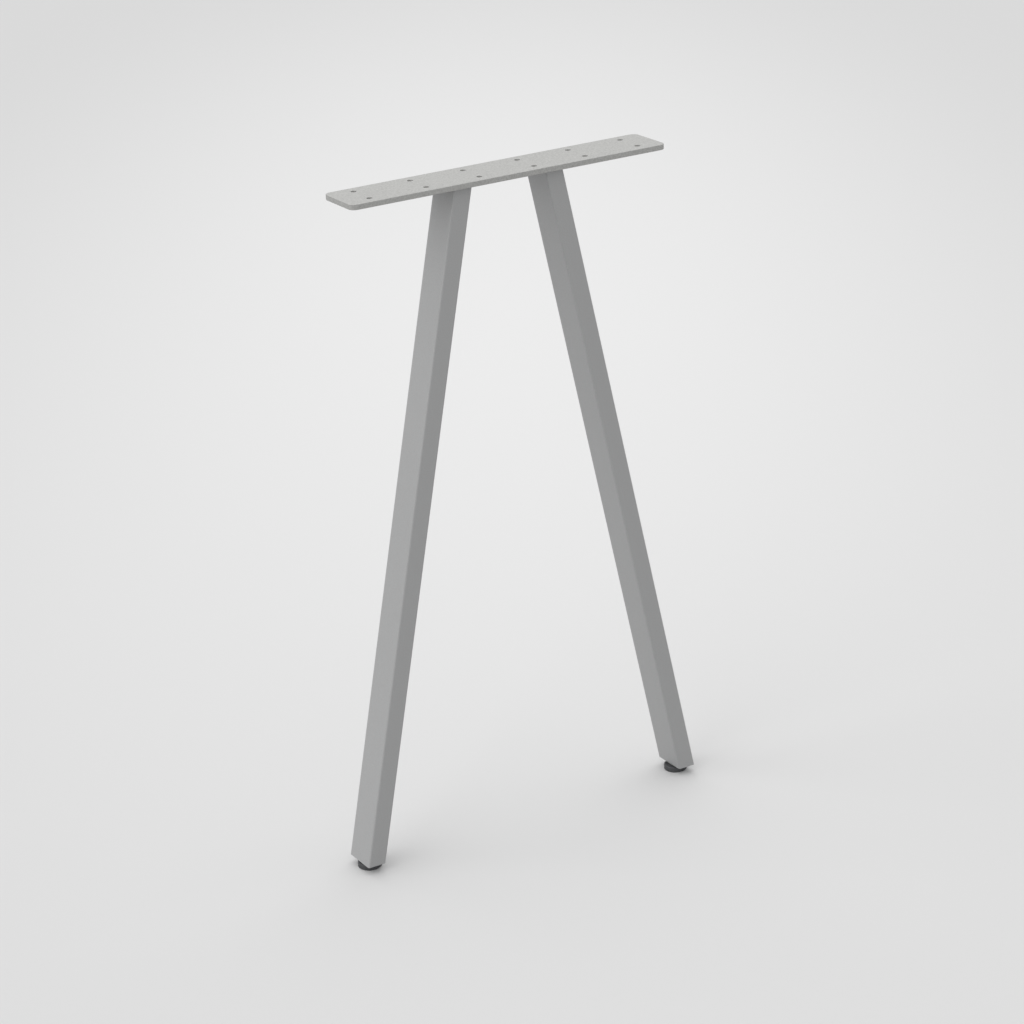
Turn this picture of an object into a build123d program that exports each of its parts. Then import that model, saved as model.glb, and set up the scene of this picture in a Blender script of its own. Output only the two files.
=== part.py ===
from build123d import *
import os
from math import atan2, cos, pi, sin, tan

# Metal table leg: two splayed rectangular tubes welded under a flat drilled plate,
# each standing on a screw-in levelling foot.
# Millimetres. X runs along the plate, Y across it, +Z up.
# The origin is on the floor, midway between the two feet.

# Overall height, from the floor to the top of the mounting plate
leg_height = 710.0

# Mounting plate
plate_length = 360.0
plate_width = 57.0
plate_thickness = 5.5
plate_corner = 7.0
plate_edge_round = 0.5

# Wood screw holes: two rows of six, stated as distances from the middle of the plate
screw_hole_diameter = 6.0
inner_hole_reach = 31.25
middle_hole_reach = 91.0
outer_hole_reach = 153.5
hole_row_spacing = 31.5

# Leg tubes. The depth lies in the plane of the A, the width across it
tube_depth = 20.0
tube_width = 40.0
tube_wall = 1.5
tube_corner = 2.0
tube_reach_at_plate = 51.9
tube_reach_at_foot = 193.85

# Fillet weld where each tube meets the plate
weld_leg = 2.0
weld_toe = 0.3

# Closing plate in the lower end of each tube, with a nut welded on its inside
end_plate_thickness = 6.0
stud_hole_clearance = 0.5
nut_across_flats = 13.0
nut_height = 6.5
nut_chamfer = 0.6

# Levelling foot: a threaded stud that turns in a round plastic base
base_diameter = 25.0
base_height = 6.0
base_top_chamfer = 1.0
base_floor_chamfer = 0.6
base_floor = 2.0
foot_gap = 2.5
stud_diameter = 8.0
stud_length = 25.0
stud_tip_chamfer = 1.0
collar_across_flats = 13.0
neck_diameter = 6.0
button_diameter = 11.0
button_height = 2.0
button_chamfer = 0.4

# Clearances of the pieces that turn
running_clearance = 0.05
end_play = 0.1

# Heights above the floor that the pieces share
plate_underside = leg_height - plate_thickness
tube_end = base_height + foot_gap
nut_seat = tube_end + end_plate_thickness
nut_middle = nut_seat + nut_height / 2
collar_bottom = base_height + end_play
collar_top = tube_end - end_play
stud_top = collar_top + stud_length

# Lean of each tube from the vertical, and the sections that follow from it
lean = atan2(tube_reach_at_foot - tube_reach_at_plate, plate_underside - tube_end)
inner_depth = tube_depth - 2 * tube_wall
inner_width = tube_width - 2 * tube_wall
inner_corner = max(tube_corner - tube_wall, 0.1)

# The stud stands upright and crosses the tube's axis halfway up the nut
foot_reach = tube_reach_at_foot - (nut_middle - tube_end) * tan(lean)

# A tube is drawn past both its ends by its own depth, then cut level
tube_run = (plate_underside - tube_end) / cos(lean) + 2 * tube_depth


def tube_plane(side):
    """Plane square to a tube's axis, below its lower end, with x in the plane of the A."""
    up_the_tube = Vector(-side * sin(lean), 0, cos(lean))
    start = Vector(side * tube_reach_at_foot, 0, tube_end) - up_the_tube * tube_depth
    return Plane(origin=start, x_dir=(cos(lean), 0, side * sin(lean)), z_dir=up_the_tube)


def axis_reach(height):
    """Distance of a tube's axis from the middle of the leg, at a height above the floor."""
    return tube_reach_at_foot - (height - tube_end) * tan(lean)


def save(piece, name):
    """Label a finished piece and write it to a file of that name."""
    piece.label = name
    export_step(piece, f"parts/{name}.step")


os.makedirs("parts", exist_ok=True)

# Mounting plate, with its screw holes in sets of four
with BuildPart() as mounting_plate:
    with BuildSketch(Plane.XY.offset(plate_underside)):
        RectangleRounded(plate_length, plate_width, plate_corner)
    extrude(amount=plate_thickness)
    fillet(mounting_plate.faces().filter_by(Axis.Z).edges(), plate_edge_round)
    for reach in (inner_hole_reach, middle_hole_reach, outer_hole_reach):
        with Locations((0, 0, leg_height)):
            with GridLocations(2 * reach, hole_row_spacing, 2, 2):
                Hole(screw_hole_diameter / 2, plate_thickness)
save(mounting_plate.part, "mounting_plate")

for hand, side in (("left", -1), ("right", 1)):
    foot_x = side * foot_reach

    # Leg tube, cut level at the plate and at the foot
    with BuildPart() as leg_tube:
        with BuildSketch(tube_plane(side)):
            RectangleRounded(tube_depth, tube_width, tube_corner)
            RectangleRounded(inner_depth, inner_width, inner_corner, mode=Mode.SUBTRACT)
        extrude(amount=tube_run)
        split(bisect_by=Plane.XY.offset(tube_end), keep=Keep.TOP)
        split(bisect_by=Plane.XY.offset(plate_underside), keep=Keep.BOTTOM)
    save(leg_tube.part, f"leg_tube_{hand}")

    # Fillet weld all round the tube, from the plate's underside down to a thin toe
    with BuildPart() as weld_bead:
        for height, spread in ((plate_underside - weld_leg, weld_toe), (plate_underside, weld_leg)):
            with BuildSketch(Plane.XY.offset(height)):
                with Locations((side * axis_reach(height), 0)):
                    RectangleRounded(
                        tube_depth / cos(lean) + 2 * spread,
                        tube_width + 2 * spread,
                        tube_corner + spread,
                    )
        loft()
        with BuildSketch(tube_plane(side)):
            RectangleRounded(tube_depth, tube_width, tube_corner)
        extrude(amount=tube_run, mode=Mode.SUBTRACT)
    save(weld_bead.part, f"weld_bead_{hand}")

    # Closing plate, flush with the tube's lower end and bored clear of the stud
    with BuildPart() as end_plate:
        with BuildSketch(tube_plane(side)):
            RectangleRounded(inner_depth, inner_width, inner_corner)
        extrude(amount=tube_run)
        split(bisect_by=Plane.XY.offset(tube_end), keep=Keep.TOP)
        split(bisect_by=Plane.XY.offset(nut_seat), keep=Keep.BOTTOM)
        with Locations((foot_x, 0, nut_seat)):
            Hole(stud_diameter / 2 + stud_hole_clearance, end_plate_thickness)
    save(end_plate.part, f"end_plate_{hand}")

    # Hexagon nut on the closing plate, its corners chamfered at the top
    with BuildPart() as weld_nut:
        with BuildSketch(Plane.XY.offset(nut_seat)):
            with Locations((foot_x, 0)):
                Circle(nut_across_flats / 2 / cos(pi / 6))
        extrude(amount=nut_height)
        chamfer(weld_nut.edges().group_by(Axis.Z)[-1], nut_chamfer)
        with BuildSketch(Plane.XY.offset(nut_seat)):
            with Locations((foot_x, 0)):
                RegularPolygon(nut_across_flats / 2, 6, major_radius=False, rotation=30)
        extrude(amount=nut_height, mode=Mode.INTERSECT)
        with Locations((foot_x, 0, nut_seat + nut_height)):
            Hole(stud_diameter / 2 + running_clearance, nut_height)
    save(weld_nut.part, f"weld_nut_{hand}")

    # Stud: turned button, neck and shank in one, with a hexagon collar for a spanner
    with BuildPart() as foot_stud:
        with BuildSketch(Plane(origin=(foot_x, 0, 0), x_dir=(1, 0, 0), z_dir=(0, -1, 0))):
            with BuildLine():
                Polyline(
                    (0, base_floor),
                    (button_diameter / 2, base_floor),
                    (button_diameter / 2, base_floor + button_height),
                    (neck_diameter / 2, base_floor + button_height),
                    (neck_diameter / 2, collar_bottom),
                    (stud_diameter / 2, collar_bottom),
                    (stud_diameter / 2, stud_top - stud_tip_chamfer),
                    (stud_diameter / 2 - stud_tip_chamfer, stud_top),
                    (0, stud_top),
                    close=True,
                )
            make_face()
        revolve(axis=Axis((foot_x, 0, 0), (0, 0, 1)))
        button_rims = foot_stud.edges().filter_by(GeomType.CIRCLE).sort_by(SortBy.RADIUS)[-2:]
        chamfer(button_rims, button_chamfer)
        with BuildSketch(Plane.XY.offset(collar_bottom)):
            with Locations((foot_x, 0)):
                RegularPolygon(collar_across_flats / 2, 6, major_radius=False, rotation=30)
        extrude(amount=collar_top - collar_bottom)
    save(foot_stud.part, f"foot_stud_{hand}")

    # Plastic base, hollowed for the stud's button under a lip round its neck
    with BuildPart() as foot_base:
        with BuildSketch():
            with Locations((foot_x, 0)):
                Circle(base_diameter / 2)
        extrude(amount=base_height)
        chamfer(foot_base.edges().group_by(Axis.Z)[-1], base_top_chamfer)
        chamfer(foot_base.edges().group_by(Axis.Z)[0], base_floor_chamfer)
        with BuildSketch(Plane.XY.offset(base_floor)):
            with Locations((foot_x, 0)):
                Circle(button_diameter / 2 + running_clearance)
        extrude(amount=button_height + end_play, mode=Mode.SUBTRACT)
        with Locations((foot_x, 0, base_height)):
            Hole(neck_diameter / 2 + running_clearance, base_height - base_floor)
    save(foot_base.part, f"foot_base_{hand}")
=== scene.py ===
import math

import bmesh
import bpy
from mathutils import Matrix, Vector


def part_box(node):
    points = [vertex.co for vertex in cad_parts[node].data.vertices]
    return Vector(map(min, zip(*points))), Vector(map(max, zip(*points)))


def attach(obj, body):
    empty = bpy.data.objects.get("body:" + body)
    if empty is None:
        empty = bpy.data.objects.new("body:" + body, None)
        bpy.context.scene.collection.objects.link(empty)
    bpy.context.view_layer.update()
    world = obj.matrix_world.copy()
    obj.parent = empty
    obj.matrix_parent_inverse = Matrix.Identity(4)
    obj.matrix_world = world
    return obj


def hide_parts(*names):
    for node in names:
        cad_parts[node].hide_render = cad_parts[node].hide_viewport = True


# Looks of a powder-coated table leg: finishes for its solids, rolled threads on the two studs,
# rippled weld beads, and a plain studio. All lengths are in metres.

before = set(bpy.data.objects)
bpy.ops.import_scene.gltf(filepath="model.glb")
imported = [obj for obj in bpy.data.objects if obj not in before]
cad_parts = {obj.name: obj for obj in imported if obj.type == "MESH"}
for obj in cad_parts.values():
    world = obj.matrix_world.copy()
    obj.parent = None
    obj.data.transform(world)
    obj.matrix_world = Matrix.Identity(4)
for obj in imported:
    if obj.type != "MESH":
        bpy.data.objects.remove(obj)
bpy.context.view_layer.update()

MM = 0.001

# Sizes that the solids don't give by themselves
TUBE_WIDTH = 40 * MM
TUBE_CORNER = 2 * MM
WELD_LEG = 2 * MM
COLLAR_FLATS = 13 * MM
COLLAR_CHAMFER = 0.3 * MM
NECK_DIAMETER = 6 * MM
BUTTON_DIAMETER = 11 * MM
BUTTON_HEIGHT = 2 * MM
STUD_CHAMFER = 0.35 * MM
END_PLAY = 0.1 * MM

# Rolled thread: a ridge of diamond section wound round the shank's root
THREAD_DIAMETER = 8 * MM
THREAD_PITCH = 1.25 * MM
THREAD_ROOT_DEPTH = 0.6 * MM
THREAD_TIP = 0.9 * MM
THREAD_RUN_IN = 0.8 * MM
THREAD_RUN_OUT = 1.2 * MM
THREAD_POINTS_PER_TURN = 40

# Weld bead: its section, its drop and its stand-off as shares of the weld's leg, and its ripples
BEAD_SECTION = 0.72
BEAD_DROP = 0.35
BEAD_STAND_OFF = 0.15
WELD_RIPPLE = 2.2 * MM
RIPPLE_STEP = 0.12
RIPPLE_FALL = 0.26

# Powder coat: features to the metre, real depths, and swings of tone as shares of the colour
FLAKE_COUNT = 1700
DRIFT_COUNT = 9
PEBBLE_DEPTH = 0.12 * MM
FLAKE_DEPTH = 0.008 * MM
PEBBLE_TONE = 0.08
FLAKE_TONE = 0.25
DRIFT_TONE = 1.03

# Finish colours
# The plate and the tubes share one coat. The plate's grey is a touch lighter and warmer, which is
# painted warm top light, and the tubes' grey is a touch cooler, which is painted cool light.
PLATE_GREY_PAINTED_WARM_LIGHT = (0.477, 0.477, 0.463)
TUBE_GREY_PAINTED_COOL_LIGHT = (0.464, 0.467, 0.468)
ZINC_DARK = (0.56, 0.57, 0.56)
ZINC_PALE = (0.68, 0.68, 0.65)
PLASTIC_DARK = (0.064, 0.066, 0.069)
PLASTIC_PALE = (0.082, 0.084, 0.088)

# The photograph's viewpoint, found from the leg's own edges
VIEW_AZIMUTH = -30.589
VIEW_ELEVATION = 21.155
VIEW_ROLL = -2.560
VIEW_AIM = (-0.00278, -0.00119, 0.3487)
VIEW_DISTANCE = 3.0014
LENS = 102.906
SENSOR = 36.0

# The floor: a painted pool of light behind the leg whose painted light falls off gently, and the
# grey of its bounced light
FLOOR_HALF_WIDTH = 30
PAINTED_POOL_MIDDLE = (0.97, 1.64)
PAINTED_POOL_REACH = (1.40, 3.95)
FLOOR_PAINTED_POOL_LIT = (0.827, 0.827, 0.827)
FLOOR_PAINTED_POOL_DIM = (0.687, 0.687, 0.687)
FLOOR_BOUNCE = (0.32, 0.32, 0.32)

# The surround: the light it gives, and how pale it looks
SKY_LEVEL = 0.66
SKY_SEEN_LEVEL = 0.70


# Shader helpers

class Finish:
    """A material under construction: its nodes, its shader and its object coordinates."""

    def __init__(self, name, preview):
        self.material = bpy.data.materials.new(name)
        self.material.use_nodes = True
        self.material.diffuse_color = (*preview, 1)
        self.nodes = self.material.node_tree.nodes
        self.links = self.material.node_tree.links
        self.shader = self.nodes["Principled BSDF"]
        self.coordinates = self.nodes.new("ShaderNodeTexCoord").outputs["Object"]

    def join(self, source, target):
        self.links.new(source, target)

    def noise(self, scale, detail=2.0, roughness=0.5):
        """Noise on object coordinates; scale is in features to the metre."""
        node = self.nodes.new("ShaderNodeTexNoise")
        node.inputs["Scale"].default_value = scale
        node.inputs["Detail"].default_value = detail
        node.inputs["Roughness"].default_value = roughness
        self.join(self.coordinates, node.inputs["Vector"])
        return node.outputs["Fac"]

    def cells(self, scale):
        """Distance from the middle of small cells; scale is in cells to the metre."""
        node = self.nodes.new("ShaderNodeTexVoronoi")
        node.inputs["Scale"].default_value = scale
        self.join(self.coordinates, node.inputs["Vector"])
        return node.outputs["Distance"]

    def spread(self, source, low, high, start=0.3, end=0.7, smooth=False):
        """Carries source from start and end to low and high."""
        node = self.nodes.new("ShaderNodeMapRange")
        node.interpolation_type = "SMOOTHSTEP" if smooth else "LINEAR"
        node.inputs["From Min"].default_value = start
        node.inputs["From Max"].default_value = end
        node.inputs["To Min"].default_value = low
        node.inputs["To Max"].default_value = high
        self.join(source, node.inputs["Value"])
        return node.outputs["Result"]

    def mix(self, share, first, second):
        """Colour mixed by share from first to second; either may be a colour or a socket."""
        node = self.nodes.new("ShaderNodeMix")
        node.data_type = "RGBA"
        self.join(share, node.inputs["Factor"])
        for label, value in (("A", first), ("B", second)):
            socket = next(s for s in node.inputs if s.name == label and s.type == "RGBA")
            if isinstance(value, tuple):
                socket.default_value = (*value, 1)
            else:
                self.join(value, socket)
        return next(s for s in node.outputs if s.type == "RGBA")

    def bump(self, height, depth, strength, below=None):
        """Bump of a real depth in metres, laid over another one where there is one."""
        node = self.nodes.new("ShaderNodeBump")
        node.inputs["Strength"].default_value = strength
        node.inputs["Distance"].default_value = depth
        self.join(height, node.inputs["Height"])
        if below is not None:
            self.join(below, node.inputs["Normal"])
        return node.outputs["Normal"]

    def set(self, **values):
        """Plain numbers on the shader's own sockets, named with underscores for spaces."""
        for label, value in values.items():
            self.shader.inputs[label.replace("_", " ")].default_value = value


def seen_rays(tree):
    """One for the rays that look at a surface or its mirror image, nought for the rest."""
    path = tree.nodes.new("ShaderNodeLightPath")
    total = path.outputs["Is Camera Ray"]
    for label in ("Is Glossy Ray", "Is Transmission Ray"):
        node = tree.nodes.new("ShaderNodeMath")
        node.operation = "MAXIMUM"
        tree.links.new(total, node.inputs[0])
        tree.links.new(path.outputs[label], node.inputs[1])
        total = node.outputs["Value"]
    return total


def toned(colour, share):
    """A colour made darker or lighter by a share."""
    return tuple(channel * share for channel in colour)


def powder_coat(name, colour, grain_count, grain_depth):
    """Silver-grey satin powder coat: pebbled grain, pale flakes, slow drift of tone."""
    coat = Finish(name, colour)
    grain = coat.noise(grain_count, detail=4, roughness=0.6)
    flakes = coat.spread(coat.cells(FLAKE_COUNT), 1, 0, start=0.05, end=0.4)
    drift = coat.noise(DRIFT_COUNT, detail=2)
    dark = toned(colour, 1 - PEBBLE_TONE * grain_depth)
    pale = toned(colour, 1 + PEBBLE_TONE * grain_depth)
    flake = toned(colour, 1 + FLAKE_TONE * grain_depth)
    pebbled = coat.mix(coat.spread(grain, 0, 1, start=0.34, end=0.66), dark, pale)
    flecked = coat.mix(coat.spread(flakes, 0, 0.3, start=0, end=1), pebbled, flake)
    drifted = coat.mix(coat.spread(drift, 0, 0.25), flecked, toned(colour, DRIFT_TONE))
    coat.join(drifted, coat.shader.inputs["Base Color"])
    coat.join(coat.spread(grain, 0.54, 0.42), coat.shader.inputs["Roughness"])
    pebbles = coat.bump(grain, PEBBLE_DEPTH * grain_depth, 0.8)
    coat.join(coat.bump(flakes, FLAKE_DEPTH, 0.5, below=pebbles), coat.shader.inputs["Normal"])
    coat.set(Metallic=0.2, IOR=1.5)
    return coat.material


def zinc_plate():
    """Bright zinc plating with a soft cloudy lustre."""
    zinc = Finish("zinc_plate", (0.62, 0.62, 0.6))
    cloud = zinc.noise(420, detail=3)
    scuff = zinc.noise(2600, detail=2)
    clouded = zinc.mix(zinc.spread(cloud, 0, 1), ZINC_DARK, ZINC_PALE)
    zinc.join(clouded, zinc.shader.inputs["Base Color"])
    zinc.join(zinc.spread(cloud, 0.26, 0.4), zinc.shader.inputs["Roughness"])
    zinc.join(zinc.bump(scuff, 0.006 * MM, 0.4), zinc.shader.inputs["Normal"])
    zinc.set(Metallic=1.0)
    return zinc.material


def moulded_plastic():
    """Black moulded plastic, matt with a spark-eroded grain."""
    plastic = Finish("black_moulded_plastic", (0.03, 0.03, 0.03))
    grain = plastic.noise(1900, detail=2)
    bloom = plastic.noise(160, detail=2)
    bloomed = plastic.mix(plastic.spread(bloom, 0, 1), PLASTIC_DARK, PLASTIC_PALE)
    plastic.join(bloomed, plastic.shader.inputs["Base Color"])
    plastic.join(plastic.spread(grain, 0.42, 0.58), plastic.shader.inputs["Roughness"])
    plastic.join(plastic.bump(grain, 0.02 * MM, 0.5), plastic.shader.inputs["Normal"])
    plastic.set(IOR=1.49)
    return plastic.material


# Geometry Nodes helpers

class Tree:
    """A Geometry Nodes tree with named inputs, which ends in real, finished geometry."""

    def __init__(self, name, **inputs):
        self.group = bpy.data.node_groups.new(name, "GeometryNodeTree")
        face = self.group.interface
        face.new_socket("Geometry", in_out="INPUT", socket_type="NodeSocketGeometry")
        face.new_socket("Geometry", in_out="OUTPUT", socket_type="NodeSocketGeometry")
        for label, value in inputs.items():
            kind = "NodeSocketFloat" if isinstance(value, float) else "NodeSocketMaterial"
            face.new_socket(label, in_out="INPUT", socket_type=kind)
        self.values = inputs
        self.entry = self.group.nodes.new("NodeGroupInput")
        self.exit = self.group.nodes.new("NodeGroupOutput")

    def value(self, label):
        """The socket of one of the named inputs."""
        return self.entry.outputs[label]

    def node(self, kind, inputs=None, **settings):
        """A node with its settings, and each input set to a number or joined to a socket."""
        made = self.group.nodes.new(kind)
        for label, value in settings.items():
            setattr(made, label, value)
        for label, value in (inputs or {}).items():
            if isinstance(value, bpy.types.NodeSocket):
                self.group.links.new(value, made.inputs[label])
            else:
                made.inputs[label].default_value = value
        return made

    def maths(self, operation, first, second=0.0):
        """One sum on one or two numbers or sockets."""
        return self.node("ShaderNodeMath", {0: first, 1: second}, operation=operation).outputs[0]

    def placed(self, geometry, across, up):
        """Geometry moved along X and Z by two sockets."""
        place = self.node("ShaderNodeCombineXYZ", {"X": across, "Z": up})
        return self.node(
            "GeometryNodeTransform", {"Geometry": geometry, "Translation": place.outputs[0]}
        ).outputs[0]

    def finish(self, *geometry):
        """Joins the geometry, makes it real and gives it the tree's finish."""
        joined = self.group.nodes.new("GeometryNodeJoinGeometry")
        for socket in geometry:
            self.group.links.new(socket, joined.inputs[0])
        real = self.node("GeometryNodeRealizeInstances", {"Geometry": joined.outputs[0]})
        dressed = self.node(
            "GeometryNodeSetMaterial",
            {"Geometry": real.outputs[0], "Material": self.value("Finish")},
        )
        self.group.links.new(dressed.outputs[0], self.exit.inputs[0])

    def apply(self, piece):
        """Runs the tree on a piece and leaves the result as its plain mesh."""
        modifier = piece.modifiers.new(self.group.name, "NODES")
        modifier.node_group = self.group
        for socket in self.group.interface.items_tree:
            if socket.in_out == "INPUT" and socket.name in self.values:
                modifier[socket.identifier] = self.values[socket.name]
        shape = piece.evaluated_get(bpy.context.evaluated_depsgraph_get())
        mesh = bpy.data.meshes.new_from_object(shape)
        piece.modifiers.remove(modifier)
        piece.data = mesh


def new_piece(name, data):
    """An object in the scene with its own mesh, light or camera."""
    piece = bpy.data.objects.new(name, data)
    bpy.context.scene.collection.objects.link(piece)
    return piece


def add_turned(shape, outline, segments, first_angle=0.0):
    """Adds a solid turned from an outline of (radius, height) points, bottom to top."""
    rings = []
    for radius, height in outline:
        ring = []
        for step in range(segments):
            angle = first_angle + 2 * math.pi * step / segments
            point = (radius * math.cos(angle), radius * math.sin(angle), height)
            ring.append(shape.verts.new(point))
        rings.append(ring)
    for lower, upper in zip(rings, rings[1:]):
        for step in range(segments):
            after = (step + 1) % segments
            shape.faces.new((lower[step], lower[after], upper[after], upper[step]))
    shape.faces.new(reversed(rings[0]))
    shape.faces.new(rings[-1])


def shade_by_angle(piece, degrees):
    """Smooth shading that keeps real edges crisp."""
    for face in piece.data.polygons:
        face.use_smooth = True
    piece.data.set_sharp_from_angle(angle=math.radians(degrees))


# Studs with a rolled thread

def stud_core(x, low, high, collar_low, collar_high):
    """Button, neck, hexagon collar and the shank's root, all on one upright axis."""
    root = THREAD_DIAMETER / 2 - THREAD_ROOT_DEPTH
    button = BUTTON_DIAMETER / 2
    neck = NECK_DIAMETER / 2
    corner = COLLAR_FLATS / 2 / math.cos(math.pi / 6)
    core = bmesh.new()
    add_turned(core, [
        (button - STUD_CHAMFER, low),
        (button, low + STUD_CHAMFER),
        (button, low + BUTTON_HEIGHT - STUD_CHAMFER),
        (button - STUD_CHAMFER, low + BUTTON_HEIGHT),
        (neck, low + BUTTON_HEIGHT),
        (neck, collar_low + STUD_CHAMFER),
        (root, collar_high - STUD_CHAMFER),
        (root, high - THREAD_TIP),
        (root - 0.5 * THREAD_TIP, high),
    ], segments=64)
    add_turned(core, [
        (corner - COLLAR_CHAMFER, collar_low),
        (corner, collar_low + COLLAR_CHAMFER),
        (corner, collar_high - COLLAR_CHAMFER),
        (corner - COLLAR_CHAMFER, collar_high),
    ], segments=6, first_angle=math.radians(30))
    core.transform(Matrix.Translation((x, 0, 0)))
    mesh = bpy.data.meshes.new("stud_core")
    core.to_mesh(mesh)
    core.free()
    return mesh


def thread_tree(x, low, high, finish):
    """A right-hand helix of V section along the shank, laid over the stud's core."""
    tree = Tree(
        "rolled_thread",
        Axis=x,
        Start=low,
        Height=high - low,
        Turns=(high - low) / THREAD_PITCH,
        Radius=(THREAD_DIAMETER - THREAD_PITCH) / 2,
        Ridge=THREAD_PITCH / 2,
        Finish=finish,
    )
    helix = tree.node("GeometryNodeCurveSpiral", {
        "Resolution": THREAD_POINTS_PER_TURN,
        "Rotations": tree.value("Turns"),
        "Start Radius": tree.value("Radius"),
        "End Radius": tree.value("Radius"),
        "Height": tree.value("Height"),
    })
    upright = tree.node("GeometryNodeSetCurveNormal", {"Curve": helix.outputs[0]}, mode="Z_UP")
    section = tree.node(
        "GeometryNodeCurvePrimitiveCircle", {"Resolution": 4, "Radius": tree.value("Ridge")}
    )
    ridge = tree.node("GeometryNodeCurveToMesh", {
        "Curve": upright.outputs[0],
        "Profile Curve": section.outputs[0],
        "Fill Caps": True,
    })
    thread = tree.placed(ridge.outputs[0], tree.value("Axis"), tree.value("Start"))
    tree.finish(tree.entry.outputs["Geometry"], thread)
    return tree


# Weld beads

def bead_tree(x, height, half_depth, finish):
    """A bead that follows the tube's outline under the plate, each ripple thinning along it."""
    tree = Tree(
        "weld_bead",
        Middle=x,
        Level=height,
        Depth=2 * half_depth,
        Width=TUBE_WIDTH,
        Corner=TUBE_CORNER,
        Bead=BEAD_SECTION * WELD_LEG,
        Ripple=WELD_RIPPLE,
        Finish=finish,
    )
    outline = tree.node("GeometryNodeCurvePrimitiveQuadrilateral", {
        "Width": tree.value("Depth"),
        "Height": tree.value("Width"),
    })
    rounded = tree.node("GeometryNodeFilletCurve", {
        "Curve": outline.outputs[0],
        "Radius": tree.value("Corner"),
        "Limit Radius": True,
        "Count": 6,
    }, mode="POLY")
    even = tree.node("GeometryNodeResampleCurve", {
        "Curve": rounded.outputs[0],
        "Length": tree.maths("MULTIPLY", tree.value("Ripple"), RIPPLE_STEP),
    }, mode="LENGTH")
    along = tree.node("GeometryNodeSplineParameter").outputs["Length"]
    part_way = tree.maths("FRACT", tree.maths("DIVIDE", along, tree.value("Ripple")))
    fall = tree.maths("MULTIPLY", tree.maths("MULTIPLY", part_way, part_way), RIPPLE_FALL)
    section = tree.node(
        "GeometryNodeCurvePrimitiveCircle", {"Resolution": 12, "Radius": tree.value("Bead")}
    )
    bead = tree.node("GeometryNodeCurveToMesh", {
        "Curve": even.outputs[0],
        "Profile Curve": section.outputs[0],
        "Scale": tree.maths("SUBTRACT", 1.0, fall),
    })
    tree.finish(tree.placed(bead.outputs[0], tree.value("Middle"), tree.value("Level")))
    return tree


# Dress the leg

# Two greys of the one coat: painted warm light on the plate, painted cool light on the tubes.
plate_coat = powder_coat("silver_powder_coat_plate", PLATE_GREY_PAINTED_WARM_LIGHT, grain_count=570, grain_depth=1.75)
coat = powder_coat("silver_powder_coat", TUBE_GREY_PAINTED_COOL_LIGHT, grain_count=1000, grain_depth=0.8)
zinc = zinc_plate()
plastic = moulded_plastic()

NODE_FINISH = {
    "mounting_plate": plate_coat,
    "leg_tube": coat,
    "end_plate": coat,
    "weld_bead": coat,
    "weld_nut": zinc,
    "foot_stud": zinc,
    "foot_base": plastic,
}

for name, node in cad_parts.items():
    kind = name.removesuffix("_left").removesuffix("_right")
    node.data.materials.clear()
    node.data.materials.append(NODE_FINISH[kind])

for hand in ("left", "right"):
    low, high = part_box(f"foot_stud_{hand}")
    base_low, base_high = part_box(f"foot_base_{hand}")
    tube_low, tube_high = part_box(f"leg_tube_{hand}")
    axis = (base_low.x + base_high.x) / 2
    collar_low = base_high.z + END_PLAY
    collar_high = tube_low.z - END_PLAY
    core = stud_core(axis, low.z, high.z, collar_low, collar_high)
    stud = new_piece(f"threaded_stud_{hand}", core)
    stud.data.materials.append(zinc)
    thread = thread_tree(axis, collar_high + THREAD_RUN_IN, high.z - THREAD_RUN_OUT, zinc)
    thread.apply(stud)
    shade_by_angle(stud, 35)
    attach(stud, f"{hand}_stud")
    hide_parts(f"foot_stud_{hand}")

    bead_low, bead_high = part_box(f"weld_bead_{hand}")
    middle = (bead_low.x + bead_high.x) / 2
    half_depth = (bead_high.x - bead_low.x) / 2 - WELD_LEG
    name = f"rippled_weld_{hand}"
    bead = new_piece(name, bpy.data.meshes.new(name))
    level = bead_high.z - BEAD_DROP * WELD_LEG
    bead_tree(middle, level, half_depth + BEAD_STAND_OFF * WELD_LEG, coat).apply(bead)
    shade_by_angle(bead, 60)
    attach(bead, "leg_frame")
    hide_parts(f"weld_bead_{hand}")


# Studio

def towards(azimuth, elevation):
    """The direction of something seen at an azimuth and elevation in degrees."""
    across, up = math.radians(azimuth), math.radians(elevation)
    return Vector((
        math.sin(across) * math.cos(up),
        -math.cos(across) * math.cos(up),
        math.sin(up),
    ))


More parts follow.
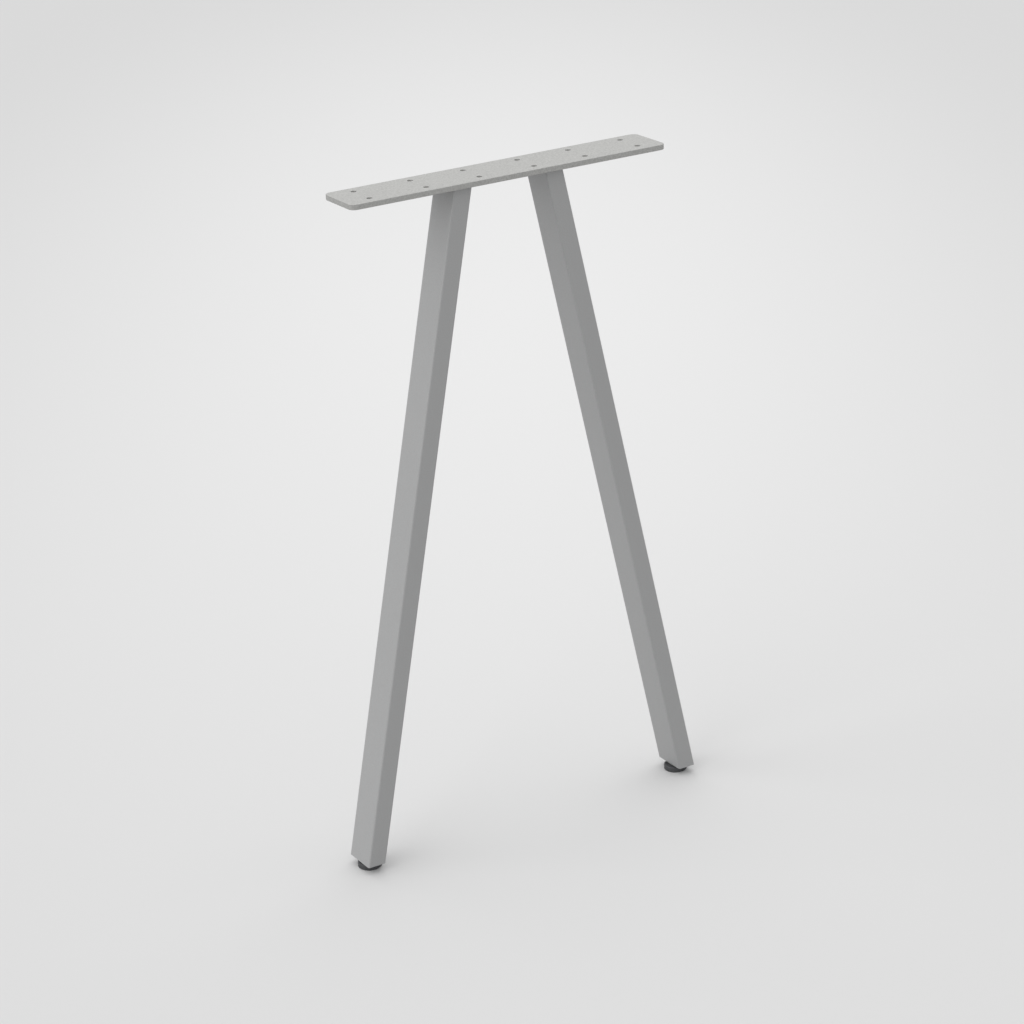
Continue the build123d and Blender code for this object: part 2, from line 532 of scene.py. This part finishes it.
def floor():
    """A wide floor: pale where it is seen or mirrored, under a painted pool of light that fades
    outward, and a plain mid grey in the light it bounces.
    """
    paper = Finish("pale_floor_with_painted_light_pool", (0.8, 0.8, 0.8))
    # Painted pool of light: the seen floor colour fades from a pale middle behind the leg to a
    # dimmer grey further out.
    painted_pool_map = paper.nodes.new("ShaderNodeMapping")
    painted_pool_map.vector_type = "TEXTURE"
    painted_pool_map.inputs["Location"].default_value = (*PAINTED_POOL_MIDDLE, 0)
    painted_pool_map.inputs["Rotation"].default_value = (0, 0, math.radians(VIEW_AZIMUTH))
    painted_pool_map.inputs["Scale"].default_value = (*PAINTED_POOL_REACH, 1)
    paper.join(paper.coordinates, painted_pool_map.inputs["Vector"])
    away = paper.nodes.new("ShaderNodeVectorMath")
    away.operation = "LENGTH"
    paper.join(painted_pool_map.outputs["Vector"], away.inputs[0])
    painted_pool_falloff = paper.spread(away.outputs["Value"], 0, 1, start=0, end=1, smooth=True)
    pale = paper.mix(painted_pool_falloff, FLOOR_PAINTED_POOL_LIT, FLOOR_PAINTED_POOL_DIM)
    seen = seen_rays(paper.material.node_tree)
    paper.join(paper.mix(seen, FLOOR_BOUNCE, pale), paper.shader.inputs["Base Color"])
    paper.set(Roughness=1.0, Specular_IOR_Level=0.0)
    reach = FLOOR_HALF_WIDTH
    corners = [(-reach, -reach, 0), (reach, -reach, 0), (reach, reach, 0), (-reach, reach, 0)]
    mesh = bpy.data.meshes.new("floor")
    mesh.from_pydata(corners, [], [(0, 1, 2, 3)])
    ground = new_piece("floor", mesh)
    ground.data.materials.append(paper.material)


def sky(level, seen_level):
    """An even pale surround, which looks as pale as the far floor whatever light it gives."""
    world = bpy.data.worlds.new("surround")
    world.use_nodes = True
    tree = world.node_tree
    background = tree.nodes["Background"]
    background.inputs["Color"].default_value = (1, 1, 1, 1)
    strength = tree.nodes.new("ShaderNodeMapRange")
    strength.inputs["To Min"].default_value = level
    strength.inputs["To Max"].default_value = seen_level
    tree.links.new(seen_rays(tree), strength.inputs["Value"])
    tree.links.new(strength.outputs["Result"], background.inputs["Strength"])
    bpy.context.scene.world = world


def far_lamp(name, azimuth, elevation, spread, level):
    """A broad far lamp. Its level is the share of full light that it gives a surface facing it."""
    data = bpy.data.lights.new(name, "SUN")
    data.angle = math.radians(spread)
    data.energy = math.pi * level
    lamp = new_piece(name, data)
    lamp.rotation_mode = "QUATERNION"
    lamp.rotation_quaternion = (-towards(azimuth, elevation)).to_track_quat("-Z", "Y")


def camera():
    """The camera, turned to the photograph's viewpoint."""
    back = towards(VIEW_AZIMUTH, VIEW_ELEVATION)
    data = bpy.data.cameras.new("view")
    data.sensor_width = SENSOR
    data.lens = LENS
    data.clip_end = 100
    eye = new_piece("view", data)
    upright = (-back).to_track_quat("-Z", "Y").to_matrix()
    rolled = upright @ Matrix.Rotation(math.radians(VIEW_ROLL), 3, "Z")
    stand = Matrix.Translation(Vector(VIEW_AIM) + back * VIEW_DISTANCE)
    eye.matrix_world = stand @ rolled.to_4x4()
    bpy.context.scene.camera = eye


floor()
sky(SKY_LEVEL, SKY_SEEN_LEVEL)
far_lamp("overhead", azimuth=150, elevation=65, spread=60, level=0.24)
far_lamp("left_side", azimuth=-90, elevation=34, spread=70, level=0.26)
camera()
bpy.context.scene.view_settings.view_transform = "Standard"
